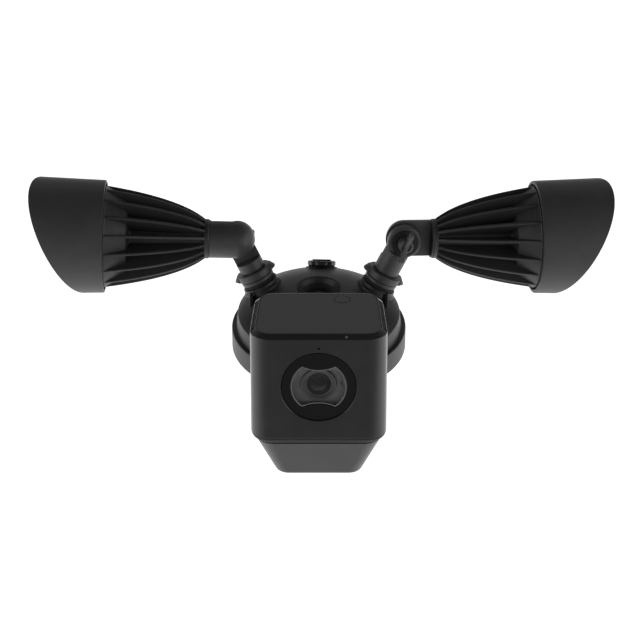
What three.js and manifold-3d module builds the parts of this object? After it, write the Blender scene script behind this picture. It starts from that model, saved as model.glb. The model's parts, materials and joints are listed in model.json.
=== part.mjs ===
// Twin-floodlight security camera, in millimetres.
// Origin: centre of the canopy's back face. +Z leaves the mounting surface, -Y is the camera's front.
import * as THREE from "three";
import { mergeVertices } from "three/addons/utils/BufferGeometryUtils.js";
import Module from "manifold-3d";

const wasm = await Module();
wasm.setup();

// ---------- driving dimensions ----------
const GAP = 0.3;

const RIM_R = 60;
const RIM_TOP = 15.5;
const STEP_R = 56.6;
const STEP_TOP = 26;
const CANOPY_WALL = 2.6;
const DOME_R = 88;
const DOME_TOP = 46.4;
const DISH_R = 14.8;
const DISH_FLOOR = 38.2;

const BAR_LENGTH = 100;
const BAR_WIDTH = 20;
const BAR_THICKNESS = 2;
const BAR_SLOT_SPACING = 88.9;

const THREAD_R = 8;
const SHAFT_R = 9;
const WIRE_BORE = 5;
const HUB_R = 12.4;
const HUB_RISE = 4;
const PORT_R = 7.3;
const NUT_BASE = 6.2;
const NUT_TOP = 14.6;
const NUT_R = 12.3;
const EYE_R = 11.7;
const EYE_THICKNESS = 6.6;
const SHOULDER = 17;
const WASHER_R = 9.2;
const SHANK_R = 3;

const LAMP_POLAR = { left: 29, right: 28.7 };
const LAMP_AZIMUTH = { left: 24, right: 20.5 };
const LAMP_STEM = { left: 38.8, right: 41.3 };
const LAMP_TURN = { left: 0, right: 8 };
const LAMP_TILT = { left: 1.4, right: -2.2 };
const FIN_TURN = { left: -2.7, right: 3.1 };
const WING_TURN = { left: -27, right: 83 };
const NECK_R = 13.1;
const NECK_END = 12.3;
const LAP_END = 18.4;
const HOOD_START = 90.4;
const HOOD_R = 38.8;
const HOOD_FLARE = 1.6;
const HOOD_WALL = 2.2;
const HOOD_MEAN = 30;
const HOOD_SLOPE = 0.53;
const HOOD_ROLL = { left: -12, right: 8 };
const FINS = 16;

const CAMERA_POLAR = 30;
const CAMERA_STEM = 32;
const CAMERA_TILT = 7.5;
const PLUG_POLAR = 30;
const PLUG_AZIMUTH = 87.5;

const BOX_HALF = 44.9;
const BOX_REAR_HALF = 41.4;
const BOX_DEPTH = 65.5;
const BOX_TOP = 37;
const BOX_BOTTOM = -43;
const BOX_WALL = 2.8;
const CORNER_R = 13;
const TOP_CHAMFER = 3;
const BOTTOM_ROUND = 6.4;
const COVER_DROP = 28.8;
const COVER_SCALE = 0.667;
const COVER_CENTRE = 33.9;
const LENS_RING_R = 24.6;
const WINDOW_R = 17.9;
const WINDOW_BITE_R = 24.1;
const WINDOW_BITE_AT = 36;
const BUTTON_R = 5.2;
const BUTTON_X = 15.3;
const BUTTON_Y = 53;
const MIC_ABOVE = 27.9;
const STATUS_X = 17.8;
const PIVOT_BEHIND = 81.1;
const PIVOT_ABOVE = 10.4;

const dome = new THREE.Vector3(0, 0, DOME_TOP - DOME_R);
const rad = THREE.MathUtils.degToRad;

// ---------- materials ----------
function finish(color, roughness, metalness) {
  return new THREE.MeshStandardMaterial({ color, roughness, metalness });
}

const paint = finish(0x17171a, 0.5, 0.1);
const plastic = finish(0x1d1d20, 0.45, 0);
const gloss = finish(0x0a0a0c, 0.15, 0);
const rubber = finish(0x101010, 0.9, 0);
const steel = finish(0xa8a8aa, 0.35, 1);
const glass = finish(0x9aa4ac, 0.05, 0);
const diffuser = finish(0xe6e6e2, 0.5, 0);
const board = finish(0x1f5a36, 0.6, 0);
const white = finish(0xe8e8e6, 0.4, 0);

// ---------- solids ----------
function solid(geometry) {
  const bare = geometry.index ? geometry.toNonIndexed() : geometry.clone();
  bare.deleteAttribute("normal");
  bare.deleteAttribute("uv");
  const merged = mergeVertices(bare, 1e-3);
  const points = merged.attributes.position;
  const corners = merged.index.array;
  const faces = [];
  const [a, b, c] = [new THREE.Vector3(), new THREE.Vector3(), new THREE.Vector3()];
  let volume = 0;
  for (let i = 0; i < corners.length; i += 3) {
    const [p, q, r] = [corners[i], corners[i + 1], corners[i + 2]];
    if (p === q || q === r || r === p) continue;
    a.fromBufferAttribute(points, p);
    b.fromBufferAttribute(points, q);
    c.fromBufferAttribute(points, r);
    volume += a.dot(b.cross(c));
    faces.push(p, q, r);
  }
  if (volume < 0) faces.reverse();
  const vertProperties = new Float32Array(points.array);
  const mesh = new wasm.Mesh({ numProp: 3, vertProperties, triVerts: new Uint32Array(faces) });
  return new wasm.Manifold(mesh);
}

function join(...geometries) {
  return geometries.map(solid).reduce((whole, next) => whole.add(next));
}

function shapeOf(body) {
  const mesh = body.getMesh();
  const geometry = new THREE.BufferGeometry();
  geometry.setAttribute("position", new THREE.BufferAttribute(mesh.vertProperties, 3));
  geometry.setIndex(new THREE.BufferAttribute(mesh.triVerts, 1));
  geometry.computeVertexNormals();
  return geometry;
}

function cut(body, ...tools) {
  return tools.map(solid).reduce((rest, tool) => rest.subtract(tool), body);
}

// A solid of revolution about +Z from [radius, z] pairs.
function turned(profile, segments = 40) {
  const points = profile.map(([r, z]) => new THREE.Vector2(r, z));
  return new THREE.LatheGeometry(points, segments).rotateX(Math.PI / 2);
}

function drum(radius, low, high, edge = 0, segments = 40) {
  const profile = [[0, low], [radius - edge, low]];
  if (edge) profile.push([radius, low + edge], [radius, high - edge]);
  else profile.push([radius, high]);
  if (edge) profile.push([radius - edge, high]);
  profile.push([0, high]);
  return turned(profile, segments);
}

function ring(inner, outer, low, high, segments = 40) {
  return turned([[inner, low], [outer, low], [outer, high], [inner, high], [inner, low]], segments);
}

function block(x0, x1, y0, y1, z0, z1) {
  const size = new THREE.BoxGeometry(x1 - x0, y1 - y0, z1 - z0);
  return size.translate((x0 + x1) / 2, (y0 + y1) / 2, (z0 + z1) / 2);
}

// Turns a solid made about +Z so that its axis is +Y, or +X.
const alongY = (geometry) => geometry.rotateX(-Math.PI / 2);
const alongX = (geometry) => geometry.rotateY(Math.PI / 2);

// A convex outline, given anticlockwise, with every corner rounded.
function rounded(corners, radius) {
  const shape = new THREE.Shape();
  corners.forEach((corner, i) => {
    const at = new THREE.Vector2(...corner);
    const back = new THREE.Vector2(...corners.at(i - 1)).sub(at).normalize();
    const ahead = new THREE.Vector2(...corners[(i + 1) % corners.length]).sub(at).normalize();
    const half = Math.acos(back.dot(ahead)) / 2;
    const centre = back.clone().add(ahead).setLength(radius / Math.sin(half)).add(at);
    const start = back.clone().setLength(radius / Math.tan(half)).add(at).sub(centre);
    const end = ahead.clone().setLength(radius / Math.tan(half)).add(at).sub(centre);
    shape.absarc(centre.x, centre.y, radius, start.angle(), end.angle(), false);
  });
  shape.closePath();
  return shape;
}

function roundedRect(x0, x1, y0, y1, radius) {
  return rounded([[x0, y0], [x1, y0], [x1, y1], [x0, y1]], radius);
}

function prism(shape, low, high, options = {}) {
  const { bevel = 0, steps = 1, curve = 4 } = options;
  const geometry = new THREE.ExtrudeGeometry(shape, {
    depth: high - low - 2 * bevel,
    bevelEnabled: bevel > 0,
    bevelThickness: bevel,
    bevelSize: bevel,
    bevelOffset: -bevel,
    bevelSegments: steps,
    curveSegments: curve,
  });
  return geometry.translate(0, 0, low + bevel);
}

function part(name, geometry, material) {
  const mesh = new THREE.Mesh(geometry, material);
  mesh.name = name;
  return mesh;
}

function group(position, x, y, z, ...children) {
  const holder = new THREE.Group();
  holder.position.copy(position);
  holder.quaternion.setFromRotationMatrix(new THREE.Matrix4().makeBasis(x, y, z));
  holder.add(...children);
  return holder;
}

// ---------- places and directions ----------
const up = new THREE.Vector3(0, 0, 1);
function direction(tilt, azimuth) {
  const flat = Math.sin(rad(tilt));
  return new THREE.Vector3(flat * Math.cos(rad(azimuth)), flat * Math.sin(rad(azimuth)), Math.cos(rad(tilt)));
}

const lampAxis = {
  left: direction(LAMP_POLAR.left, 180 - LAMP_AZIMUTH.left),
  right: direction(LAMP_POLAR.right, LAMP_AZIMUTH.right),
};
const cameraAxis = direction(CAMERA_POLAR, -90);
const plugAxis = direction(PLUG_POLAR, PLUG_AZIMUTH);

function onDome(axis, height = 0) {
  return axis.clone().multiplyScalar(DOME_R + height).add(dome);
}

// A frame whose Z is the given axis and whose Y is as near as it can be to the given direction.
function frameAbout(axis, towardY) {
  const x = towardY.clone().cross(axis).normalize();
  return [x, axis.clone().cross(x), axis];
}

function atAxis(geometry, axis, height = 0) {
  const [x, y, z] = frameAbout(axis, new THREE.Vector3(0, 1, 0));
  const matrix = new THREE.Matrix4().makeBasis(x, y, z).setPosition(onDome(axis, height));
  return geometry.applyMatrix4(matrix);
}

// ---------- canopy ----------
function arcOnDome(radius, fromR, toR, count) {
  const start = Math.asin(fromR / radius);
  const end = Math.asin(toR / radius);
  return Array.from({ length: count + 1 }, (_, i) => {
    const angle = start + (end - start) * (i / count);
    return [radius * Math.sin(angle), dome.z + radius * Math.cos(angle)];
  });
}

function canopy() {
  const inner = DOME_R - CANOPY_WALL;
  const profile = [
    [RIM_R, 0],
    [RIM_R, RIM_TOP - 1],
    [RIM_R - 1, RIM_TOP],
    [STEP_R + 0.6, RIM_TOP],
    [STEP_R, RIM_TOP + 0.6],
    [STEP_R - 0.6, STEP_TOP - 1],
    [STEP_R - 1.4, STEP_TOP + 0.5],
    ...arcOnDome(DOME_R, STEP_R - 3, DISH_R + 0.8, 5),
    [DISH_R, 44.6],
    [DISH_R - 2, 41],
    [DISH_R - 6, DISH_FLOOR],
    [2.6, DISH_FLOOR],
    [2.6, DISH_FLOOR - CANOPY_WALL],
    [11.5, DISH_FLOOR - CANOPY_WALL],
    [15.8, 40.2],
    ...arcOnDome(inner, STEP_R - 7, DISH_R + 3.2, 2).reverse(),
    [STEP_R - 3.4, STEP_TOP - 1],
    [STEP_R - 2.6, RIM_TOP - CANOPY_WALL],
    [RIM_R - CANOPY_WALL, RIM_TOP - CANOPY_WALL],
    [RIM_R - CANOPY_WALL, 0],
    [RIM_R, 0],
  ];
  const hub = () => turned(
    [[0, -4], [HUB_R + 1.2, -4], [HUB_R + 0.8, 0.6], [HUB_R, 1.6], [HUB_R, HUB_RISE], [0, HUB_RISE]], 24);
  const port = turned([[0, -5], [11.4, -5], [11.4, -0.9], [10.6, 0], [0, 0]], 20);
  const bodies = [turned(profile, 40)];
  const holes = [];
  for (const axis of [lampAxis.left, lampAxis.right, cameraAxis]) {
    bodies.push(atAxis(hub(), axis));
    holes.push(atAxis(drum(THREAD_R + GAP, -20, 20, 0, 20), axis));
  }
  bodies.push(atAxis(port, plugAxis));
  holes.push(atAxis(drum(PORT_R, -20, 20, 0, 20), plugAxis));
  const rib = new THREE.Shape();
  rib.moveTo(-4.4, 30);
  rib.lineTo(5.4, 30);
  rib.lineTo(5.4, 38.5);
  rib.lineTo(3.4, 38.5);
  rib.lineTo(-4.4, 33.4);
  rib.closePath();
  for (const sign of [-1, 1]) {
    bodies.push(prism(rib, -1.3, 1.3).rotateX(Math.PI / 2).rotateZ(Math.PI / 2).translate(sign * 46.4, 0, 0));
  }
  return part("base_canopy", shapeOf(cut(join(...bodies), ...holes)), paint);
}

function mountingBar() {
  const half = BAR_LENGTH / 2;
  const outline = roundedRect(-half, half, -BAR_WIDTH / 2, BAR_WIDTH / 2, 4);
  const slots = [-1, 1].map((sign) => {
    const at = sign * BAR_SLOT_SPACING / 2;
    return prism(roundedRect(at - 5, at + 5, -2.3, 2.3, 2.2), -1, BAR_THICKNESS + 1, { curve: 2 });
  });
  const bar = cut(
    join(prism(outline, 0, BAR_THICKNESS, { curve: 2 }), drum(5, 1, 14, 0, 16)),
    drum(2.3, 5, 20, 0, 12), ...slots);
  return part("mounting_bar", shapeOf(bar), steel);
}

function canopyPieces() {
  const screwHead = drum(4.6, DISH_FLOOR + GAP, DISH_FLOOR + 2.2, 0.5, 20);
  const screw = join(screwHead, drum(2, 6, DISH_FLOOR + 1, 0, 12));
  const driver = prism(roundedRect(-24, 24, 7, 32, 3), 8, 25, { bevel: 1.5, curve: 2 });
  const terminals = cut(
    solid(block(-14, 14, -30, -18, 4, 15)),
    ...[-9, 0, 9].map((x) => block(x - 2.6, x + 2.6, -31, -27, 6, 11)));
  const plugThread = drum(PORT_R - GAP, -6, 2, 0, 20);
  const plugHead = turned([[0, 1.2], [9.9, 1.2], [9.9, 3.7], [9.3, 4.3], [0, 4.3]], 28);
  const plug = join(plugThread, plugHead, block(-3.4, 3.4, -1, 1, 4, 5.2));
  return [
    canopy(),
    part("base_gasket", ring(51.5, RIM_R - CANOPY_WALL - 0.4, 0, 2.4, 44), rubber),
    mountingBar(),
    part("centre_screw", shapeOf(screw), steel),
    part("driver_housing", driver, plastic),
    part("terminal_block", shapeOf(terminals), white),
    part("plug_seal", atAxis(ring(7.2, 9.2, 0.2, 1, 24), plugAxis), rubber),
    part("port_plug", atAxis(shapeOf(plug), plugAxis), plastic),
  ];
}

// ---------- threaded stem, shared by the lamps and the camera ----------
// Made about +Z from the surface of the dome; the eye's pin runs along Y at the given length.
function lockNut(name) {
  const outline = new THREE.Shape();
  outline.moveTo(NUT_R - 2.3, NUT_BASE + 3.4);
  outline.lineTo(NUT_R, NUT_BASE + 3.4);
  outline.lineTo(NUT_R + 2.9, NUT_TOP - 4);
  outline.lineTo(NUT_R + 2.9, NUT_TOP - 3);
  outline.lineTo(NUT_R - 0.6, NUT_TOP);
  outline.lineTo(NUT_R - 2.3, NUT_TOP);
  outline.closePath();
  const ear = prism(outline, -2.6, 2.6).rotateX(Math.PI / 2);
  const body = turned([
    [0, NUT_BASE], [NUT_R - 0.7, NUT_BASE], [NUT_R - 0.7, NUT_BASE + 2.8], [NUT_R, NUT_BASE + 3.4],
    [NUT_R, NUT_TOP - 0.8], [NUT_R - 0.8, NUT_TOP], [0, NUT_TOP],
  ], 28);
  const nut = join(body, ear, ear.clone().rotateZ(Math.PI));
  return part(name, shapeOf(cut(nut, drum(THREAD_R + GAP, 0, 30, 0, 28))), paint);
}

function stemSeal(name) {
  return part(name, ring(THREAD_R + GAP, HUB_R - 1, HUB_RISE + 0.2, NUT_BASE - 0.2, 28), rubber);
}

function stem(name, length, eyeR) {
  const eye = alongY(drum(eyeR, GAP, EYE_THICKNESS, 1.2, 32)).rotateZ(Math.PI).translate(0, 0, length);
  const post = turned([
    [0, -8], [THREAD_R, -8], [THREAD_R, NUT_TOP + GAP], [SHAFT_R, NUT_TOP + GAP], [SHAFT_R, length - 1],
    [0, length - 1],
  ], 28);
  const other = block(-20, 20, -GAP, 30, length - SHOULDER, length + 30);
  const side = block(-20, 20, -30, -EYE_THICKNESS + 1.2, length - WASHER_R - 1, length + 30);
  const bore = drum(WIRE_BORE, -10, length - eyeR - 5, 0, 20);
  const pinHole = alongY(drum(SHANK_R + GAP, -30, 30, 0, 20)).translate(0, 0, length);
  const trimmed = cut(solid(post), other, side);
  return part(name, shapeOf(cut(trimmed.add(solid(eye)), bore, pinHole)), paint);
}

// Made about the pin, which runs along Y; the head is on the -Y side.
function wingScrew(name, eyeThickness) {
  const seat = -eyeThickness - 1.8;
  const turn = (low, high, radius, edge) => alongY(drum(radius, low, high, edge, 20));
  const wing = new THREE.Shape();
  wing.moveTo(-3, 0);
  wing.lineTo(-11, -5);
  wing.absarc(-10, -7, 2.2, Math.PI * 0.8, Math.PI * 1.6, false);
  wing.lineTo(0, -5);
  wing.lineTo(9.4, -9.1);
  wing.absarc(10, -7, 2.2, -Math.PI * 0.6, Math.PI * 0.2, false);
  wing.lineTo(3, 0);
  wing.closePath();
  const wings = prism(wing, -1.5, 1.5, { curve: 3 }).translate(0, seat - 0.4, 0);
  const body = join(turn(seat, 7.4, SHANK_R, 0), turn(seat - 5.2, seat, 5.5, 0.7), wings);
  return part(name, shapeOf(body), paint);
}

function washer(name, eyeThickness) {
  const disc = ring(SHANK_R + GAP, WASHER_R, -eyeThickness - 1.5, -eyeThickness - GAP, 24);
  return part(name, alongY(disc), rubber);
}

// ---------- lamp ----------
// Made along +X from the knuckle's pin, which runs along Y; the lamp's top is +Z.
function heatSink(name, turn) {
  const core = alongX(turned([
    [0, 14.5], [NECK_R, 14.5], [NECK_R, 19.4], [NECK_R + 0.5, 19.8], [NECK_R + 0.5, 22], [11.2, 23.6],
    [14.5, HOOD_START - 16.8], [26, HOOD_START - 15], [34.2, HOOD_START - 1], [34.9, HOOD_START - 0.6],
    [34.9, HOOD_START + 1.8], [0, HOOD_START + 1.8],
  ], 32));
  const ball = Array.from({ length: 9 }, (_, i) => (
    [NECK_R * Math.sin((i * Math.PI) / 16), -NECK_END * Math.cos((i * Math.PI) / 16)]));
  const neck = alongX(turned([...ball, [NECK_R, 16], [0, 16]], 32));
  const clearance = block(-30, LAP_END, -30, 0, -30, 30);
  const pinHole = alongY(drum(SHANK_R + GAP, -20, 8.4, 0, 20));
  const outline = new THREE.Shape();
  outline.moveTo(20.5, 5);
  outline.lineTo(20.5, NECK_R - 0.8);
  outline.quadraticCurveTo(37, 27, HOOD_START - 1, 34.8);
  outline.lineTo(HOOD_START - 1, 5);
  outline.closePath();
  const fins = Array.from({ length: FINS }, (_, i) => (
    prism(outline, -1.1, 1.1, { curve: 5 }).rotateX(Math.PI / 2 + turn + (i * 2 * Math.PI) / FINS)));
  const body = cut(join(core, neck, ...fins), clearance, pinHole);
  return part(name, shapeOf(body), paint);
}

function hood(name, turn) {
  const [start, end] = [HOOD_START, HOOD_START + HOOD_MEAN + 24];
  const tube = alongX(turned([
    [HOOD_R - HOOD_WALL, start], [HOOD_R - 0.8, start], [HOOD_R, start + 0.8], [HOOD_R + HOOD_FLARE, end],
    [HOOD_R + HOOD_FLARE - HOOD_WALL, end], [HOOD_R - HOOD_WALL, start],
  ], 48));
  const front = block(0, 120, -120, 120, -150, 150).rotateY(Math.atan(HOOD_SLOPE));
  front.translate(HOOD_START + HOOD_MEAN, 0, 0);
  return part(name, shapeOf(cut(solid(tube), front)).rotateX(turn), paint);
}

function lightEngine(side) {
  const inner = HOOD_R - HOOD_WALL;
  const base = HOOD_START + 3.8;
  const bowl = turned([
    [8, base], [10, base], [31, base + 3.4], [inner - 0.6, base + 3.4],
    [inner - 0.6, base + 4], [30.6, base + 4], [8, base + 0.8], [8, base],
  ], 28);
  return [
    part(`led_board_${side}`, alongX(drum(31, base - 1.7, base - GAP, 0, 32)), board),
    part(`reflector_${side}`, alongX(bowl), white),
    part(`front_glass_${side}`, alongX(drum(inner - 0.6, base + 4.3, base + 6, 0, 32)), diffuser),
  ];
}

function lamp(side, sign) {
  const axis = lampAxis[side];
  const turned = new THREE.Vector3(sign, 0, 0).applyAxisAngle(axis, rad(LAMP_TURN[side]));
  const pin = axis.clone().cross(turned).normalize();
  const out = pin.clone().cross(axis);
  const aim = turned.clone().applyAxisAngle(pin, -rad(LAMP_TILT[side]));
  const top = aim.clone().cross(pin);
  const ear = new THREE.Vector3(sign * axis.z, 0, -sign * axis.x).normalize();
  const foot = onDome(axis);
  const knuckle = onDome(axis, LAMP_STEM[side]);
  const screw = wingScrew(`wing_screw_${side}`, EYE_THICKNESS);
  screw.rotateY(rad(WING_TURN[side]));
  const hoodTurn = Math.atan2(-up.dot(pin), up.dot(top)) + rad(HOOD_ROLL[side]);
  return [
    group(foot, ear, axis.clone().cross(ear), axis,
      stemSeal(`stem_seal_${side}`), lockNut(`lock_nut_${side}`)),
    group(foot, out, pin, axis, stem(`stem_${side}`, LAMP_STEM[side], EYE_R)),
    group(knuckle, out, pin, axis, washer(`knuckle_washer_${side}`, EYE_THICKNESS), screw),
    group(knuckle, aim, pin, top,
      heatSink(`heat_sink_${side}`, rad(FIN_TURN[side])),
      ...lightEngine(side),
      hood(`hood_${side}`, hoodTurn)),
  ];
}

// ---------- camera ----------
// Made about the lens axis at the front face: +X right, +Y back, +Z up.
function boxOutline(inset) {
  const [front, rear] = [BOX_HALF - inset, BOX_REAR_HALF - inset];
  return rounded([[-front, inset], [front, inset], [rear, BOX_DEPTH - inset], [-rear, BOX_DEPTH - inset]],
    CORNER_R - inset * 0.8);
}

// Moves a solid made about +Z onto the middle of the front chamfer, which faces forward and up.
function onChamfer(geometry) {
  const middle = TOP_CHAMFER / 2;
  return geometry.rotateX(Math.PI / 4).translate(STATUS_X, middle, BOX_TOP - middle);
}

function housing() {
  const lower = prism(boxOutline(0), BOX_BOTTOM, BOX_TOP + 30, { bevel: BOTTOM_ROUND, steps: 3, curve: 2 });
  const upper = prism(boxOutline(0), BOX_BOTTOM - 30, BOX_TOP, { bevel: TOP_CHAMFER, curve: 2 });
  const shell = solid(lower).intersect(solid(upper));
  const body = cut(shell,
    prism(boxOutline(BOX_WALL), BOX_BOTTOM + BOX_WALL, BOX_TOP - 5, { curve: 2 }),
    prism(boxOutline(5.6), BOX_TOP - 6, BOX_TOP - 2, { curve: 2 }),
    prism(boxOutline(3.7), BOX_TOP - 2.8, BOX_TOP + 4, { curve: 2 }),
    block(-27.3, 27.3, 60, 70, -39.3, 30.3),
    alongY(drum(LENS_RING_R, -3, 6, 0, 40)),
    alongY(drum(0.8, -3, 6, 0, 8)).translate(0, 0, MIC_ABOVE),
    onChamfer(drum(1.2, -12, 3, 0, 8)));
  return part("camera_housing", shapeOf(body), plastic);
}

function lensPieces() {
  const disc = (radius, low, high) => alongY(drum(radius, low, high, 0, 40));
  const bites = (radius) => [-1, 1].map((sign) => (
    alongY(drum(radius, -5, 9, 0, 48)).translate(0, 0, sign * WINDOW_BITE_AT)));
  const opening = cut(solid(disc(WINDOW_R, -4, 8)), ...bites(WINDOW_BITE_R));
  const plate = solid(disc(LENS_RING_R - GAP, 0.6, 3)).subtract(opening);
  const window = cut(solid(disc(WINDOW_R - GAP, 1, 2.6)), ...bites(WINDOW_BITE_R + GAP));
  const barrel = alongY(turned([
    [7.9, 5], [9.2, 4.2], [11.3, 4], [11.3, 20], [8.4, 20], [8.4, 7], [7.9, 6.6], [7.9, 5],
  ], 32));
  const element = alongY(turned([[0, 4], [3, 4.25], [5.4, 5], [7.6, 6.2], [7.6, 9], [0, 9]], 28));
  return [
    part("lens_ring", shapeOf(plate), gloss),
    part("lens_window", shapeOf(window), glass),
    part("lens_barrel", barrel, plastic),
    part("lens_glass", element, gloss),
    part("ir_led_board", alongY(ring(11.7, 23, 4.6, 6.2, 28)), board),
    part("image_sensor_board", block(-14, 14, 20.4, 22, -14, 14), board),
  ];
}

function lowerCover() {
  const [low, high] = [BOX_BOTTOM - COVER_DROP, BOX_BOTTOM - GAP];
  const outline = roundedRect(-41.4, 41.4, 4.5, 60, 12);
  const hollow = roundedRect(-38.4, 38.4, 7.5, 57, 9.5);
  const taper = (geometry) => {
    const points = geometry.attributes.position;
    for (let i = 0; i < points.count; i += 1) {
      const along = Math.min(1, (BOX_BOTTOM - points.getZ(i)) / COVER_DROP);
      const scale = 1 - (1 - COVER_SCALE) * Math.max(0, along);
      points.setX(i, points.getX(i) * scale);
      points.setY(i, COVER_CENTRE + (points.getY(i) - COVER_CENTRE) * scale);
    }
    return geometry;
  };
  const outer = taper(prism(outline, low, high, { curve: 3 }));
  const inner = taper(prism(hollow, low + 2.6, BOX_BOTTOM, { curve: 3 }));
  return part("lower_cover", shapeOf(cut(solid(outer), inner.translate(0, 0, 0.02))), plastic);
}

function button() {
  const body = join(
    drum(BUTTON_R, BOX_TOP - 2.2, BOX_TOP + 0.1, 0.3, 28),
    drum(BUTTON_R + 1.2, BOX_TOP - 5.4, BOX_TOP - 4, 0, 28),
    drum(3, BOX_TOP - 5, BOX_TOP - 2, 0, 20));
  return part("pairing_button", shapeOf(body).translate(BUTTON_X, BUTTON_Y, 0), plastic);
}

function bracket() {
  const reach = PIVOT_BEHIND - BOX_DEPTH;
  const flange = turned([[0, GAP], [12.5, GAP], [12.5, 2], [11.5, 2.8], [0, 2.8]], 28);
  const foot = alongY(flange).translate(0, -reach, 0);
  const eye = alongX(drum(10, GAP, EYE_THICKNESS - 1, 1, 28));
  const arm = block(GAP, EYE_THICKNESS - 1, -reach + 2, 0, -7, 7);
  const hole = alongX(drum(SHANK_R + GAP, -20, 20, 0, 20));
  const body = cut(join(foot, arm, eye), hole);
  return part("camera_bracket", shapeOf(body), paint);
}

function camera() {
  const cover = prism(roundedRect(-27, 27, -39, 30, 3), 0, 2.4);
  cover.rotateX(Math.PI / 2).translate(0, BOX_DEPTH, 0);
  const screwHead = alongY(drum(2.6, BOX_DEPTH + GAP, BOX_DEPTH + 1.6, 0.4, 14));
  const screws = [[-23, -35], [23, -35], [-23, 26], [23, 26]].map(([x, z], i) => (
    part(`cover_screw_${i + 1}`, screwHead.clone().translate(x, 0, z), steel)));
  const buttonHole = drum(BUTTON_R + GAP, 0, 60, 0, 28).translate(BUTTON_X, BUTTON_Y, 0);
  const panel = cut(solid(prism(boxOutline(4), BOX_TOP - 2.5, BOX_TOP, { curve: 2 })), buttonHole);
  return [
    housing(),
    part("rear_cover", cover, plastic),
    ...screws,
    part("top_panel", shapeOf(panel), plastic),
    button(),
    ...lensPieces(),
    part("main_board", block(-30, 30, 40, 41.6, -34, 26), board),
    part("microphone", alongY(drum(2.6, 3.2, 6, 0, 20)).translate(0, 0, MIC_ABOVE), steel),
    part("status_light", onChamfer(drum(0.9, -2, GAP, 0, 8)), white),
    lowerCover(),
    part("speaker", drum(13, -60, -53, 0.8, 24).translate(0, 38, 0), steel),
    part("pir_sensor", alongY(drum(4.6, 16, 22, 0.4, 16)).translate(0, 0, -56), steel),
  ];
}

function cameraAssembly() {
  const [x, y, z] = frameAbout(cameraAxis, new THREE.Vector3(0, 1, 0));
  const foot = onDome(cameraAxis);
  const pivot = onDome(cameraAxis, CAMERA_STEM);
  const back = new THREE.Vector3(0, Math.cos(rad(CAMERA_TILT)), -Math.sin(rad(CAMERA_TILT)));
  const above = x.clone().cross(back);
  const front = back.clone().multiplyScalar(-PIVOT_BEHIND).addScaledVector(above, -PIVOT_ABOVE).add(pivot);
  return [
    group(foot, x, y, z, stemSeal("camera_stem_seal"), lockNut("camera_lock_nut")),
    group(foot, y.clone().negate(), x, z, stem("camera_stem", CAMERA_STEM, 10)),
    group(pivot, y.clone().negate(), x, z,
      washer("camera_washer", EYE_THICKNESS), wingScrew("camera_wing_screw", EYE_THICKNESS)),
    group(pivot, x, back, above, bracket()),
    group(front, x, back, above, ...camera()),
  ];
}

// ---------- assembly ----------
const object = new THREE.Group();
object.add(...canopyPieces(), ...lamp("left", -1), ...lamp("right", 1), ...cameraAssembly());
export default object;
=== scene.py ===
import json
import math

import bmesh
import bpy
from mathutils import Matrix, Vector


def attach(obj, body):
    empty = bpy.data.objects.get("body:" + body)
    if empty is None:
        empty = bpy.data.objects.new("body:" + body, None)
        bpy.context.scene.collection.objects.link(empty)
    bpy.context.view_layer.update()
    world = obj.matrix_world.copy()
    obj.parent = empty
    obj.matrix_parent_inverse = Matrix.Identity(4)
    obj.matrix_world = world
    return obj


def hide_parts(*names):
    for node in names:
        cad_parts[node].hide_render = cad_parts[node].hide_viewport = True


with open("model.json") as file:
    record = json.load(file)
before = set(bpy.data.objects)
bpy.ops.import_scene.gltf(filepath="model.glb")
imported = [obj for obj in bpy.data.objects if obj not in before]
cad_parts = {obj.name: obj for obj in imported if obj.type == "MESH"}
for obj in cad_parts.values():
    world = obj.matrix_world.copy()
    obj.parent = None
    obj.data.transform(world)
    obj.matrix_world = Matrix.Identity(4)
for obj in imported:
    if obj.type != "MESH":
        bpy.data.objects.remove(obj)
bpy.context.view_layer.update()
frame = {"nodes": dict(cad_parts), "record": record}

# Each visible piece rides on the body of the CAD node that it stands for.

# ---------- sizes in millimetres and angles in degrees, in the CAD model's frame ----------
MM = 0.001
GAP = 0.3
# Reaches well past whatever a tool cuts.
FAR = 30

RIM_R = 60
RIM_TOP = 15.5
STEP_R = 56.6
STEP_TOP = 26
CANOPY_WALL = 2.6
DOME_R = 88
DOME_TOP = 46.4
DISH_R = 14.8
DISH_FLOOR = 38.2
SCREW_BORE_R = 2.6
RIB_X = 46.4
RIB_HALF = 1.3

THREAD_R = 8
SHAFT_R = 9
WIRE_BORE = 5
HUB_R = 12.4
HUB_RISE = 4
PORT_R = 7.3
PLUG_R = 9.9
PLUG_TOP = 4.3
NUT_BASE = 6.2
NUT_TOP = 14.6
NUT_R = 12.3
EYE_R = 11.7
CAMERA_EYE_R = 10
EYE_THICKNESS = 6.6
EYE_EDGE = 1.2
WASHER_R = 9.2
SHANK_R = 3
SHOULDER = 17

# Polar angles are from +Z and azimuths from +X. The turns and tilts are the lamps' own in the photograph.
LAMP_POLAR = {"left": 29, "right": 28.7}
LAMP_AZIMUTH = {"left": 156, "right": 20.5}
LAMP_STEM = {"left": 38.8, "right": 41.3}
LAMP_TURN = {"left": 0, "right": 8}
LAMP_TILT = {"left": 1.4, "right": -2.2}
FIN_TURN = {"left": -2.7, "right": 3.1}
WING_TURN = {"left": -27, "right": 83}
OUTWARD = {"left": -1, "right": 1}
NECK_R = 13.1
NECK_END = 12.3
LAP_END = 18.4
NECK_LENGTH = 19.2
FIN_START = 20.5
FIN_START_R = 12.3
FIN_BEND = 37
FIN_BEND_R = 27
FIN_END_R = 34.8
FINS = 16
HOOD_START = 90.4
HOOD_R = 38.8
HOOD_FLARE = 1.6
HOOD_WALL = 2.2
HOOD_MEAN = 30
HOOD_LENGTH = HOOD_MEAN + 24
HOOD_SLOPE = 0.53
HOOD_ROLL = {"left": -12, "right": 8}
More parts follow.
